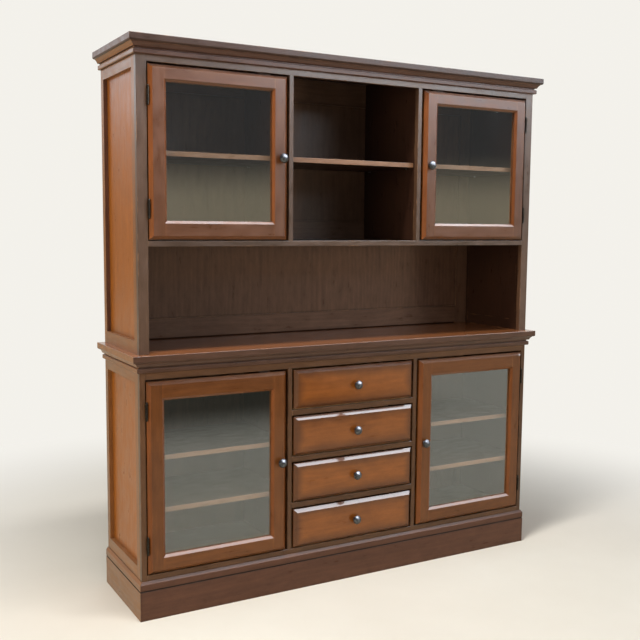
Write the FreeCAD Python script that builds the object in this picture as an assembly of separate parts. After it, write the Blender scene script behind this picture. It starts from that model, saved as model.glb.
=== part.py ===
"""Two-piece cabinet: a base with glazed doors and drawers, and a hutch with glazed doors and open bays.

Millimetres. +X is to the right as seen from the front, +Y to the back, +Z up. The origin is on the floor,
at the middle of the whole cabinet's box. Every sub-part is one STEP file named after its node.
"""
import FreeCAD, Part
import math
import os

from FreeCAD import Vector

# Overall
BASE_H = 951.0
HUTCH_H = 1078.0
CARCASS_W = 1750.0
CARCASS_D = 408.0
TOP_OVERHANG = 30.5

# Top slabs and the moulding below them
SLAB_T = 25.0
SLAB_NOSE_R = 6.0
SLAB_TOP_R = 2.0
COVE_H = 15.0
COVE_OUT = 23.0
COVE_FOOT = 12.0
COVE_HOLLOW = 1.5
QUIRK_OUT = 4.0
QUIRK_H = 6.0
BEAD_OUT = 11.0
BEAD_H = 17.0
BEAD_EASE = 2.5

# Plinth
PLINTH_H = 108.0
PLINTH_OUT = 9.0
PLINTH_T = 20.0
CAP_H = 34.0
CAP_FACE_H = 24.0
CAP_TOP_OUT = 2.0
PLINTH_GROOVE = 2.5

# Frame-and-panel sides
SIDE_T = 20.0
SIDE_STILE_W = 30.0
SIDE_TOP_RAIL_H = 76.0
BASE_SIDE_BOTTOM_RAIL_H = 76.0
HUTCH_SIDE_BOTTOM_RAIL_H = 44.0
SIDE_PANEL_T = 5.0

# Face frames
FRAME_T = 20.0
BASE_STILE_W = 20.0
HUTCH_STILE_W = 37.0
DIVIDER_W = 18.0
CENTRE_BAY_W = 558.0
BASE_TOP_RAIL_H = 63.0
BASE_BOTTOM_RAIL_SHOW = 19.0
DISPLAY_H = 373.0
HUTCH_BOTTOM_RAIL_H = 19.5
HUTCH_TOP_RAIL_H = 60.0
EDGE_EASE = 1.0

# Boards, shelves and backs
BOARD_T = 18.0
SHELF_T = 19.0
SHELF_SETBACK = 26.0
SHELF_SIDE_CLEAR = 1.0
SHELF_BACK_CLEAR = 3.0
LOWER_SHELF_LIFTS = (213.0, 405.0)
BASE_BACK_T = 8.0
HUTCH_BACK_T = 16.0
HUTCH_BACK_PANEL_T = 9.0
HUTCH_BACK_STILE_W = 60.0
HUTCH_BACK_RAIL_H = 96.0
HUTCH_BACK_BOTTOM_RAIL_H = 81.0
HUTCH_BACK_FOOT_GAP = 4.5
HUTCH_BACK_FOOT_DEPTH = 9.0
PIN_R = 3.0
PIN_REACH = 9.0
PIN_INSET = 45.0

# Doors
DOOR_T = 26.0
DOOR_PROUD = 13.0
EDGE_BEVEL = 12.0
DOOR_STILE_W = 62.0
UPPER_DOOR_TOP_RAIL_H = 56.0
LOWER_DOOR_TOP_RAIL_H = 68.0
DOOR_BOTTOM_RAIL_H = 64.0
DOOR_LATCH_GAP = 10.5
DOOR_TOP_GAP = 7.0
DOOR_BOTTOM_GAP = 5.0
STICKING_W = 9.0
STICKING_DEPTH = 8.0
GLASS_SETBACK = 14.0
GLASS_T = 4.0
GLASS_EDGE_CLEAR = 1.0
RABBET_W = 8.0

# Hinges
HINGE_H = 54.0
HINGE_INSET = 104.0
KNUCKLE_COUNT = 5
KNUCKLE_CLEAR = 0.2
BARREL_R = 5.0
BARREL_STAND = 1.0
LEAF_T = 1.5
LEAF_CLEAR = 1.0
LEAF_DEPTH = 11.0
HINGE_PIN_R = 1.95
HINGE_PIN_CLEAR = 0.05
FINIAL_R = 4.0
FINIAL_SEAT = 0.9

# Knobs and their screws
KNOB_R = 17.2
KNOB_LENGTH = 29.0
KNOB_FOOT_R = 9.0
KNOB_FOOT_H = 3.0
KNOB_NECK_R = 6.0
KNOB_RIM = 15.0
KNOB_RIM_H = 2.0
KNOB_INSET = 25.0
KNOB_THREAD = 12.0
SCREW_R = 2.0
SCREW_CLEAR = 0.2
SCREW_HEAD_R = 4.2
SCREW_HEAD_H = 2.4

# Door catches
CATCH_W = 44.0
CATCH_H = 18.0
CATCH_CLEAR = 0.3
CATCH_INSET = 70.0

# Drawers
DRAWER_COUNT = 4
DRAWER_RAIL_H = 21.0
DRAWER_SIDE_GAP = 7.5
DRAWER_TOP_GAP = 6.0
DRAWER_BOTTOM_GAP = 4.5
DRAWER_FRONT_T = 24.0
BOX_SIDE_CLEAR = 10.0
BOX_T = 12.0
BOX_H = 118.0
BOX_BACK_CLEAR = 54.0
BOX_BOTTOM_T = 6.0
BOX_BOTTOM_LIFT = 8.0
BOX_RUN_CLEAR = 0.3
RUNNER_W = 30.0
GUIDE_H = 16.0
GUIDE_CLEAR = 1.5

# Places that follow from the sizes
TOTAL_H = BASE_H + HUTCH_H
FRONT_REACH = max(TOP_OVERHANG, DOOR_PROUD + KNOB_LENGTH)
FACE_Y = (FRONT_REACH - CARCASS_D) / 2
BACK_Y = FACE_Y + CARCASS_D
FRAME_BACK_Y = FACE_Y + FRAME_T
PROUD_Y = FACE_Y - DOOR_PROUD
HALF_W = CARCASS_W / 2
SIDE_X = HALF_W - SIDE_T
PARTITION_IN_X = CENTRE_BAY_W / 2
PARTITION_OUT_X = PARTITION_IN_X + DIVIDER_W

BASE_TOP_Z = BASE_H - SLAB_T
BASE_SILL_Z = PLINTH_H + CAP_H + BASE_BOTTOM_RAIL_SHOW
BASE_HEAD_Z = BASE_TOP_Z - BASE_TOP_RAIL_H
BASE_BACK_Y = BACK_Y - BASE_BACK_T
DRAWER_OPEN_H = (BASE_HEAD_Z - BASE_SILL_Z - (DRAWER_COUNT - 1) * DRAWER_RAIL_H) / DRAWER_COUNT
DRAWER_PITCH = DRAWER_OPEN_H + DRAWER_RAIL_H

HUTCH_TOP_Z = TOTAL_H - SLAB_T
HUTCH_FLOOR_Z = BASE_H + DISPLAY_H
HUTCH_SILL_Z = HUTCH_FLOOR_Z + HUTCH_BOTTOM_RAIL_H
HUTCH_HEAD_Z = HUTCH_TOP_Z - HUTCH_TOP_RAIL_H
HUTCH_BACK_Y = BACK_Y - HUTCH_BACK_T
HUTCH_SHELF_Z = (HUTCH_SILL_Z + HUTCH_HEAD_Z - SHELF_T) / 2
SHELF_FRONT_Y = FACE_Y + SHELF_SETBACK

HINGE_GAP = 2 * LEAF_T + LEAF_CLEAR
HINGE_AXIS_Y = FACE_Y - BARREL_R - BARREL_STAND
DOOR_BACK_Y = PROUD_Y + DOOR_T

AXES = {"x": Vector(1, 0, 0), "y": Vector(0, 1, 0), "z": Vector(0, 0, 1)}


def box(x0, x1, y0, y1, z0, z1):
    """A block between two corners."""
    return Part.makeBox(x1 - x0, y1 - y0, z1 - z0, Vector(x0, y0, z0))


def bar(x0, x1, y0, y1, z0, z1, along):
    """A board whose front arrises, along its length, are eased."""
    block = box(x0, x1, y0, y1, z0, z1)
    long_edges = []
    for edge in block.Edges:
        direction = edge.Vertexes[1].Point - edge.Vertexes[0].Point
        in_front = abs(edge.CenterOfMass.y - y0) < EDGE_EASE
        if in_front and abs(direction.normalize().dot(AXES[along])) > math.cos(math.radians(1)):
            long_edges.append(edge)
    return block.makeChamfer(EDGE_EASE, long_edges)


def prism(points, sweep):
    """A closed polygon of points, swept along a vector."""
    return Part.Face(Part.makePolygon(list(points) + [points[0]])).extrude(sweep)


def prism_of_edges(edges, sweep):
    """A closed outline of lines and arcs, swept along a vector."""
    return Part.Face(Part.Wire([edge.toShape() for edge in edges])).extrude(sweep)


def mirrored(shape):
    """The same piece on the other side of the cabinet's middle plane."""
    return shape.mirror(Vector(0, 0, 0), AXES["x"])


def both_sides(shapes):
    """The shapes and their mirror images."""
    return list(shapes) + [mirrored(shape) for shape in shapes]


def profile_edges(steps, place):
    """Lines and arcs of a moulding; a step is a point, or a (middle, end) pair for an arc."""
    edges = []
    here = place(*steps[0])
    for step in steps[1:] + steps[:1]:
        if isinstance(step[0], tuple):
            middle, end = (place(*point) for point in step)
            edges.append(Part.Arc(here, middle, end))
        else:
            end = place(*step)
            edges.append(Part.LineSegment(here, end))
        here = end
    return edges


def mitred_runs(steps):
    """A moulding round the carcass in three mitred runs: front, left, right; a step is (outward, height)."""
    reach = CARCASS_D / 4
    span = CARCASS_W + 2 * reach

    def front_place(out, z):
        return Vector(-span / 2, FACE_Y - out, z)

    def left_place(out, z):
        return Vector(-HALF_W - out, FACE_Y - reach, z)

    front = prism_of_edges(profile_edges(steps, front_place), Vector(span, 0, 0))
    left = prism_of_edges(profile_edges(steps, left_place), Vector(0, CARCASS_D + reach, 0))
    front_plan = [
        Vector(-HALF_W - reach, FACE_Y - reach, 0),
        Vector(HALF_W + reach, FACE_Y - reach, 0),
        Vector(HALF_W - reach, FACE_Y + reach, 0),
        Vector(-HALF_W + reach, FACE_Y + reach, 0),
    ]
    wedge = prism(front_plan, Vector(0, 0, TOTAL_H))
    return [front.common(wedge)] + both_sides([left.cut(wedge)])


def slab(top_z):
    """A top board with a rounded lower nose and softened upper arris in front and at the sides."""
    x = HALF_W + TOP_OVERHANG
    y0 = FACE_Y - TOP_OVERHANG
    board = box(-x, x, y0, BACK_Y, top_z - SLAB_T, top_z)

    def outer_edges(shape, z):
        edges = [edge for edge in shape.Edges if edge.CenterOfMass.y < BACK_Y - EDGE_EASE]
        return [edge for edge in edges if max(abs(v.Z - z) for v in edge.Vertexes) < EDGE_EASE]

    board = board.makeFillet(SLAB_NOSE_R, outer_edges(board, top_z - SLAB_T))
    return board.makeFillet(SLAB_TOP_R, outer_edges(board, top_z))


def slab_moulding(top_z):
    """Shallow cove, quirk and bead below a slab, in three mitred runs."""
    z0 = top_z - SLAB_T
    z1 = z0 - COVE_H
    z2 = z1 - QUIRK_H
    z3 = z2 - BEAD_H
    fall = COVE_OUT - COVE_FOOT
    dip = COVE_HOLLOW / math.hypot(fall, COVE_H)
    middle = ((COVE_OUT + COVE_FOOT) / 2 - dip * COVE_H, (z0 + z1) / 2 + dip * fall)
    steps = [
        (0, z0),
        (COVE_OUT, z0),
        (middle, (COVE_FOOT, z1)),
        (QUIRK_OUT, z1),
        (QUIRK_OUT, z2),
        (BEAD_OUT - BEAD_EASE, z2),
        (BEAD_OUT, z2 - BEAD_EASE),
        (BEAD_OUT, z3 + BEAD_EASE),
        (BEAD_OUT - BEAD_EASE, z3),
        (0, z3),
    ]
    return mitred_runs(steps)


def plinth_boards():
    """Three mitred boards round the foot, and the hidden board across the back."""
    top = PLINTH_OUT - PLINTH_GROOVE
    inside = PLINTH_OUT - PLINTH_T
    steps = [
        (inside, 0),
        (PLINTH_OUT, 0),
        (PLINTH_OUT, PLINTH_H - PLINTH_GROOVE),
        (top, PLINTH_H),
        (inside, PLINTH_H),
    ]
    x = HALF_W + inside
    return mitred_runs(steps) + [box(-x, x, BACK_Y - PLINTH_T, BACK_Y, 0, PLINTH_H)]


def plinth_cap():
    """The bevelled cap above the plinth's groove line."""
    foot = PLINTH_OUT - PLINTH_GROOVE
    top = PLINTH_H + CAP_H
    steps = [
        (0, PLINTH_H),
        (foot, PLINTH_H),
        (PLINTH_OUT, PLINTH_H + PLINTH_GROOVE),
        (PLINTH_OUT, PLINTH_H + CAP_FACE_H),
        (CAP_TOP_OUT, top),
        (0, top),
    ]
    return mitred_runs(steps)


def side_frame(z0, z1, bottom_rail_h):
    """Two stiles and two rails of one side, and the thin panel between them; the left side."""
    x0, x1 = -HALF_W, -SIDE_X
    y0, y1 = FRAME_BACK_Y, BACK_Y
    rail_y0, rail_y1 = y0 + SIDE_STILE_W, y1 - SIDE_STILE_W
    panel_z0, panel_z1 = z0 + bottom_rail_h, z1 - SIDE_TOP_RAIL_H
    frame = [
        box(x0, x1, y0, rail_y0, z0, z1),
        box(x0, x1, rail_y1, y1, z0, z1),
        box(x0, x1, rail_y0, rail_y1, z0, panel_z0),
        box(x0, x1, rail_y0, rail_y1, panel_z1, z1),
    ]
    panel = box(x1 - SIDE_PANEL_T, x1, rail_y0, rail_y1, panel_z0, panel_z1)
    return frame, panel


def face_frame(stile_w, z0, sill_z0, sill_z1, head_z, z1):
    """Stiles, sill rail, head rail and two dividers of one front."""
    y0, y1 = FACE_Y, FRAME_BACK_Y
    inner = HALF_W - stile_w
    stile = bar(-HALF_W, -inner, y0, y1, z0, z1, "z")
    divider = bar(-PARTITION_OUT_X, -PARTITION_IN_X, y0, y1, sill_z1, head_z, "z")
    rails = [
        bar(-inner, inner, y0, y1, sill_z0, sill_z1, "x"),
        bar(-inner, inner, y0, y1, head_z, z1, "x"),
    ]
    return both_sides([stile, divider]) + rails


def partitions(z0, z1, back_y):
    """The two upright boards behind the dividers."""
    return both_sides([box(-PARTITION_OUT_X, -PARTITION_IN_X, FRAME_BACK_Y, back_y, z0, z1)])


def shelf(x0, x1, z0, back_y):
    """One loose shelf, held back from the face frame and clear of the boards beside it."""
    y1 = back_y - SHELF_BACK_CLEAR
    return bar(x0 + SHELF_SIDE_CLEAR, x1 - SHELF_SIDE_CLEAR, SHELF_FRONT_Y, y1, z0, z0 + SHELF_T, "x")


def pins_under(x0, x1, z0, back_y):
    """Four round pins in the boards at the two ends of a shelf; the shelf lies on them."""
    pins = []
    for y in (SHELF_FRONT_Y + PIN_INSET, back_y - PIN_INSET):
        for x in (x0, x1 - PIN_REACH):
            pins.append(Part.makeCylinder(PIN_R, PIN_REACH, Vector(x, y, z0 - PIN_R), AXES["x"]))
    return pins


def shelf_bays():
    """Every shelf's node name, ends, height and the back that it stops at."""
    left = (-SIDE_X, -PARTITION_OUT_X)
    right = (PARTITION_OUT_X, SIDE_X)
    bays = []
    for ends in (left, right):
        for lift in LOWER_SHELF_LIFTS:
            bays.append(("base_shelves", ends, BASE_SILL_Z + lift, BASE_BACK_Y))
    for ends in (left, (-PARTITION_IN_X, PARTITION_IN_X), right):
        bays.append(("hutch_shelves", ends, HUTCH_SHELF_Z, HUTCH_BACK_Y))
    return bays


def hutch_back():
    """Stiles and rails of the framed back, grooved along its foot, and the deeper panels between them."""
    x1 = SIDE_X
    x0 = x1 - HUTCH_BACK_STILE_W
    y0 = HUTCH_BACK_Y
    mid_z = HUTCH_SILL_Z - BOARD_T
    rails = [
        (BASE_H, BASE_H + HUTCH_BACK_BOTTOM_RAIL_H),
        (mid_z, mid_z + HUTCH_BACK_RAIL_H),
        (HUTCH_TOP_Z - HUTCH_BACK_RAIL_H, HUTCH_TOP_Z),
    ]
    frame = both_sides([box(-x1, -x0, y0, BACK_Y, BASE_H, HUTCH_TOP_Z)])
    groove_y = y0 + HUTCH_BACK_FOOT_DEPTH
    groove = box(-x0, x0, y0, groove_y, BASE_H, BASE_H + HUTCH_BACK_FOOT_GAP)
    frame += [box(-x0, x0, y0, BACK_Y, z0, z1).cut(groove) for z0, z1 in rails]
    panel_y = BACK_Y - HUTCH_BACK_PANEL_T
    panels = [box(-x0, x0, panel_y, BACK_Y, low[1], high[0]) for low, high in zip(rails, rails[1:])]
    return frame, panels


def bevelled_board(x0, x1, z0, z1, back_y):
    """A front proud of the face frame, with bevels all round that run back to the frame's face."""

    def outline(low, high, place):
        return [
            place(low, back_y),
            place(low, FACE_Y),
            place(low + EDGE_BEVEL, PROUD_Y),
            place(high - EDGE_BEVEL, PROUD_Y),
            place(high, FACE_Y),
            place(high, back_y),
        ]

    upright = prism(outline(x0, x1, lambda x, y: Vector(x, y, z0)), Vector(0, 0, z1 - z0))
    level = prism(outline(z0, z1, lambda z, y: Vector(x0, y, z)), Vector(x1 - x0, 0, 0))
    return upright.common(level)


def member_steps(width):
    """Section of a door stile or rail: (across from the door's outer edge, depth from its front face)."""
    return [
        (0, DOOR_T),
        (0, DOOR_PROUD),
        (EDGE_BEVEL, 0),
        (width - STICKING_W, 0),
        (width, STICKING_DEPTH),
        (width, GLASS_SETBACK),
        (width - RABBET_W, GLASS_SETBACK),
        (width - RABBET_W, DOOR_T),
    ]


def knob_drilling(x, z, depth):
    """The through hole for a knob's screw."""
    start = Vector(x, PROUD_Y - DOOR_PROUD, z)
    return Part.makeCylinder(SCREW_R + SCREW_CLEAR, DOOR_PROUD + depth, start, AXES["y"])


def knob_with_screw(x, z, grip):
    """A mushroom knob on a front face, and the screw that comes through the front from behind."""
    tip_y = PROUD_Y - KNOB_LENGTH
    rim_y = PROUD_Y - KNOB_RIM
    brow_y = rim_y - KNOB_RIM_H
    dome_h = KNOB_LENGTH - KNOB_RIM - KNOB_RIM_H
    dome_r = (KNOB_R ** 2 + dome_h ** 2) / (2 * dome_h)
    half_turn = math.asin(KNOB_R / dome_r) / 2
    neck_y = PROUD_Y - KNOB_FOOT_H
    waist_y = (neck_y + rim_y) / 2

    def at(r, y):
        return Vector(x + r, y, z)

    dome_middle = at(dome_r * math.sin(half_turn), tip_y + dome_r * (1 - math.cos(half_turn)))
    outline = [
        Part.LineSegment(at(0, PROUD_Y), at(KNOB_FOOT_R, PROUD_Y)),
        Part.LineSegment(at(KNOB_FOOT_R, PROUD_Y), at(KNOB_FOOT_R, neck_y)),
        Part.Arc(at(KNOB_FOOT_R, neck_y), at(KNOB_NECK_R, waist_y), at(KNOB_R, rim_y)),
        Part.LineSegment(at(KNOB_R, rim_y), at(KNOB_R, brow_y)),
        Part.Arc(at(KNOB_R, brow_y), dome_middle, at(0, tip_y)),
        Part.LineSegment(at(0, tip_y), at(0, PROUD_Y)),
    ]
    half = Part.Face(Part.Wire([edge.toShape() for edge in outline]))
    knob = half.revolve(Vector(x, 0, z), AXES["y"], 360)
    thread_y = PROUD_Y - KNOB_THREAD
    knob = knob.cut(Part.makeCylinder(SCREW_R, KNOB_THREAD, Vector(x, thread_y, z), AXES["y"]))
    shank = Part.makeCylinder(SCREW_R, KNOB_THREAD + grip, Vector(x, thread_y, z), AXES["y"])
    head = Part.makeCylinder(SCREW_HEAD_R, SCREW_HEAD_H, Vector(x, PROUD_Y + grip, z), AXES["y"])
    return [knob, shank.fuse(head).removeSplitter()]


def hinge(edge_x, mid_z):
    """One butt hinge at a stile's inner edge: the leaf on the frame, the leaf on the door, and the pin."""
    axis_x = edge_x + HINGE_GAP / 2
    z0 = mid_z - HINGE_H / 2
    knuckle_h = HINGE_H / KNUCKLE_COUNT
    plate_y = HINGE_AXIS_Y + BARREL_R + KNUCKLE_CLEAR
    foot = Vector(axis_x, HINGE_AXIS_Y, z0)
    bore = Part.makeCylinder(HINGE_PIN_R + HINGE_PIN_CLEAR, HINGE_H, foot, AXES["z"])
    leaves = []
    for first, plate_x in ((0, edge_x), (1, edge_x + LEAF_T + LEAF_CLEAR)):
        leaf = box(plate_x, plate_x + LEAF_T, plate_y, FACE_Y + LEAF_DEPTH, z0, z0 + HINGE_H)
        for place in range(first, KNUCKLE_COUNT, 2):
            low = z0 + place * knuckle_h + (KNUCKLE_CLEAR if place else 0)
            high = z0 + (place + 1) * knuckle_h
            knuckle_foot = Vector(axis_x, HINGE_AXIS_Y, low)
            leaf = leaf.fuse(Part.makeCylinder(BARREL_R, high - low, knuckle_foot, AXES["z"]))
            leaf = leaf.fuse(box(plate_x, plate_x + LEAF_T, HINGE_AXIS_Y, plate_y, low, high))
        leaves.append(leaf.cut(bore).removeSplitter())
    pin = Part.makeCylinder(HINGE_PIN_R, HINGE_H, foot, AXES["z"])
    for end_z in (z0 - FINIAL_SEAT * FINIAL_R, z0 + HINGE_H + FINIAL_SEAT * FINIAL_R):
        pin = pin.fuse(Part.makeSphere(FINIAL_R, Vector(axis_x, HINGE_AXIS_Y, end_z)))
    return leaves[0], leaves[1], pin.removeSplitter()


def door(edge_x, sill_z, head_z, top_rail_h):
    """A left-hand glazed door with its knob and hinges; edge_x is the inner edge of the stile it hangs on."""
    x0 = edge_x + HINGE_GAP
    x1 = -PARTITION_OUT_X - DOOR_LATCH_GAP
    z0 = sill_z + DOOR_BOTTOM_GAP
    z1 = head_z - DOOR_TOP_GAP
    rail_x = x0 + DOOR_STILE_W / 2
    rail_sweep = Vector(x1 - x0 - DOOR_STILE_W, 0, 0)
    stile_steps = member_steps(DOOR_STILE_W)
    blank = bevelled_board(x0, x1, z0, z1, DOOR_BACK_Y)
    left_edges = profile_edges(stile_steps, lambda u, d: Vector(x0 + u, PROUD_Y + d, z0))
    right_edges = profile_edges(stile_steps, lambda u, d: Vector(x1 - u, PROUD_Y + d, z0))
    stiles = []
    for edges in (left_edges, right_edges):
        stiles.append(prism_of_edges(edges, Vector(0, 0, z1 - z0)).common(blank))
    bottom_steps = member_steps(DOOR_BOTTOM_RAIL_H)
    top_edges = profile_edges(member_steps(top_rail_h), lambda u, d: Vector(rail_x, PROUD_Y + d, z1 - u))
    bottom_edges = profile_edges(bottom_steps, lambda u, d: Vector(rail_x, PROUD_Y + d, z0 + u))
    rails = []
    for edges in (top_edges, bottom_edges):
        rails.append(prism_of_edges(edges, rail_sweep).cut(stiles[0]).cut(stiles[1]))
    knob_x = x1 - KNOB_INSET
    knob_z = (z0 + z1) / 2
    stiles[1] = stiles[1].cut(knob_drilling(knob_x, knob_z, DOOR_T))

    inside_x0, inside_x1 = x0 + DOOR_STILE_W - RABBET_W, x1 - DOOR_STILE_W + RABBET_W
    inside_z0, inside_z1 = z0 + DOOR_BOTTOM_RAIL_H - RABBET_W, z1 - top_rail_h + RABBET_W
    glass_y = PROUD_Y + GLASS_SETBACK
    stop_y = glass_y + GLASS_T
    c = GLASS_EDGE_CLEAR
    pane = box(inside_x0 + c, inside_x1 - c, glass_y, stop_y, inside_z0 + c, inside_z1 - c)
    stops = []
    for low, high in ((inside_x0, inside_x0 + RABBET_W), (inside_x1 - RABBET_W, inside_x1)):
        stops.append(box(low, high, stop_y, DOOR_BACK_Y, inside_z0, inside_z1))
    for low, high in ((inside_z0, inside_z0 + RABBET_W), (inside_z1 - RABBET_W, inside_z1)):
        stops.append(box(inside_x0 + RABBET_W, inside_x1 - RABBET_W, stop_y, DOOR_BACK_Y, low, high))
    hinges = [hinge(edge_x, z) for z in (z0 + HINGE_INSET, z1 - HINGE_INSET)]
    return {
        "frame": stiles + rails,
        "glass": [pane],
        "glass_stops": stops,
        "knob": knob_with_screw(knob_x, knob_z, DOOR_T),
        "hinge_leaves": [leaves[1] for leaves in hinges],
        "frame_leaves": [leaves[0] for leaves in hinges],
        "pins": [leaves[2] for leaves in hinges],
    }


def door_catch(head_z):
    """The catch under a head rail that a left-hand door's top rail closes on."""
    x1 = -PARTITION_OUT_X - CATCH_INSET
    return box(x1 - CATCH_W, x1, DOOR_BACK_Y + CATCH_CLEAR, FRAME_BACK_Y, head_z - CATCH_H, head_z)


def drawer(number):
    """Front, box and knob of one drawer; number 1 is the top one."""
    z0 = BASE_HEAD_Z - (number - 1) * DRAWER_PITCH - DRAWER_OPEN_H
    x = PARTITION_IN_X - DRAWER_SIDE_GAP
    front_back_y = PROUD_Y + DRAWER_FRONT_T
    front = bevelled_board(-x, x, z0 + DRAWER_BOTTOM_GAP, z0 + DRAWER_OPEN_H - DRAWER_TOP_GAP, front_back_y)
    bx = PARTITION_IN_X - BOX_SIDE_CLEAR
    y0, y1 = front_back_y, BASE_BACK_Y - BOX_BACK_CLEAR
    bz0 = z0 + BOX_RUN_CLEAR
    bz1 = bz0 + BOX_H
    inner_front = box(-bx + BOX_T, bx - BOX_T, y0, y0 + BOX_T, bz0, bz1)
    knob_z = z0 + (DRAWER_OPEN_H + DRAWER_BOTTOM_GAP - DRAWER_TOP_GAP) / 2
    drilling = knob_drilling(0, knob_z, DRAWER_FRONT_T + BOX_T)
    bottom_z = bz0 + BOX_BOTTOM_LIFT
    boards = both_sides([box(-bx, -bx + BOX_T, y0, y1, bz0, bz1)]) + [
        inner_front.cut(drilling),
        box(-bx + BOX_T, bx - BOX_T, y1 - BOX_T, y1, bz0, bz1),
        box(-bx + BOX_T, bx - BOX_T, y0 + BOX_T, y1 - BOX_T, bottom_z, bottom_z + BOX_BOTTOM_T),
    ]
    return {
        "front": [front.cut(drilling)],
        "box": boards,
        "knob": knob_with_screw(0, knob_z, DRAWER_FRONT_T + BOX_T),
    }


def drawer_carriers():
    """Rails between the drawers, runners level with them, and side guides; the floor carries the lowest."""
    rails, runners, guides = [], [], []
    for gap in range(DRAWER_COUNT):
        top_z = BASE_SILL_Z + gap * DRAWER_PITCH
        guide_x = PARTITION_IN_X - BOX_SIDE_CLEAR + GUIDE_CLEAR
        high_z = top_z + GUIDE_H
        guides += both_sides([box(-PARTITION_IN_X, -guide_x, FRAME_BACK_Y, BASE_BACK_Y, top_z, high_z)])
        if gap:
            low_z = top_z - DRAWER_RAIL_H
            rails.append(bar(-PARTITION_IN_X, PARTITION_IN_X, FACE_Y, FRAME_BACK_Y, low_z, top_z, "x"))
            runner_x = PARTITION_IN_X - RUNNER_W
            runner = box(-PARTITION_IN_X, -runner_x, FRAME_BACK_Y, BASE_BACK_Y, low_z, top_z)
            runners += both_sides([runner])
    return rails, runners, guides


def collect():
    """Every node's solids."""
    nodes = {}
    nodes["plinth_boards"] = plinth_boards()
    nodes["plinth_cap"] = plinth_cap()
    base_frame, base_panel = side_frame(PLINTH_H, BASE_TOP_Z, BASE_SIDE_BOTTOM_RAIL_H)
    nodes["base_side_frames"] = both_sides(base_frame)
    nodes["base_side_panels"] = both_sides([base_panel])
    nodes["base_face_frame"] = face_frame(
        BASE_STILE_W, PLINTH_H, PLINTH_H, BASE_SILL_Z, BASE_HEAD_Z, BASE_TOP_Z)
    nodes["drawer_rails"], nodes["drawer_runners"], nodes["drawer_guides"] = drawer_carriers()
    nodes["base_partitions"] = partitions(BASE_SILL_Z, BASE_TOP_Z, BASE_BACK_Y)
    floor_z = BASE_SILL_Z - BOARD_T
    nodes["base_floor"] = [box(-SIDE_X, SIDE_X, FRAME_BACK_Y, BASE_BACK_Y, floor_z, BASE_SILL_Z)]
    nodes["base_back"] = [box(-SIDE_X, SIDE_X, BASE_BACK_Y, BACK_Y, PLINTH_H, BASE_TOP_Z)]
    nodes["base_top"] = [slab(BASE_H)]
    nodes["base_top_moulding"] = slab_moulding(BASE_H)

    hutch_frame, hutch_panel = side_frame(BASE_H, HUTCH_TOP_Z, HUTCH_SIDE_BOTTOM_RAIL_H)
    nodes["hutch_side_frames"] = both_sides(hutch_frame)
    nodes["hutch_side_panels"] = both_sides([hutch_panel])
    nodes["hutch_face_frame"] = face_frame(
        HUTCH_STILE_W, BASE_H, HUTCH_FLOOR_Z, HUTCH_SILL_Z, HUTCH_HEAD_Z, HUTCH_TOP_Z)
    nodes["hutch_partitions"] = partitions(HUTCH_SILL_Z, HUTCH_TOP_Z, HUTCH_BACK_Y)
    board_z = HUTCH_SILL_Z - BOARD_T
    nodes["hutch_floor"] = [box(-SIDE_X, SIDE_X, FRAME_BACK_Y, HUTCH_BACK_Y, board_z, HUTCH_SILL_Z)]
    nodes["hutch_back_frame"], nodes["hutch_back_panels"] = hutch_back()
    nodes["crown_top"] = [slab(TOTAL_H)]
    nodes["crown_moulding"] = slab_moulding(TOTAL_H)

    nodes["shelf_pins"] = []
    for node, ends, z0, back_y in shelf_bays():
        nodes.setdefault(node, []).append(shelf(*ends, z0, back_y))
        nodes["shelf_pins"] += pins_under(*ends, z0, back_y)

    nodes["door_catches"] = both_sides([door_catch(BASE_HEAD_Z), door_catch(HUTCH_HEAD_Z)])
    nodes["hinge_frame_leaves"] = []
    nodes["hinge_pins"] = []
    doors = {
        "upper": door(HUTCH_STILE_W - HALF_W, HUTCH_SILL_Z, HUTCH_HEAD_Z, UPPER_DOOR_TOP_RAIL_H),
        "lower": door(BASE_STILE_W - HALF_W, BASE_SILL_Z, BASE_HEAD_Z, LOWER_DOOR_TOP_RAIL_H),
    }
    for row, pieces in doors.items():
        nodes["hinge_frame_leaves"] += both_sides(pieces.pop("frame_leaves"))
        nodes["hinge_pins"] += both_sides(pieces.pop("pins"))
        for name, shapes in pieces.items():
            nodes[f"{row}_left_door_{name}"] = shapes
            nodes[f"{row}_right_door_{name}"] = [mirrored(shape) for shape in shapes]
    for number in range(1, DRAWER_COUNT + 1):
        for name, shapes in drawer(number).items():
            nodes[f"drawer_{number}_{name}"] = shapes
    return nodes


def main():
    """Write one STEP file per node."""
    os.makedirs("parts", exist_ok=True)
    for name, shapes in collect().items():
        solids = [solid for shape in shapes for solid in shape.Solids]
        whole = solids[0] if len(solids) == 1 else Part.makeCompound(solids)
        whole.exportStep(os.path.join("parts", f"{name}.step"))
        print(f"{name}: {len(solids)} solids, {sum(solid.Volume for solid in solids) / 1e6:.3f} litres")


main()
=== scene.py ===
"""Looks of a two-piece glazed cabinet: stained wood, glass, metal, small fixings, studio and camera."""

import logging
import math
from collections import Counter
from collections.abc import Iterable, Iterator
from dataclasses import dataclass, field
from enum import Enum
from typing import Any, ClassVar

import bmesh
import bpy
import numpy as np
from mathutils import Matrix, Vector


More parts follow.
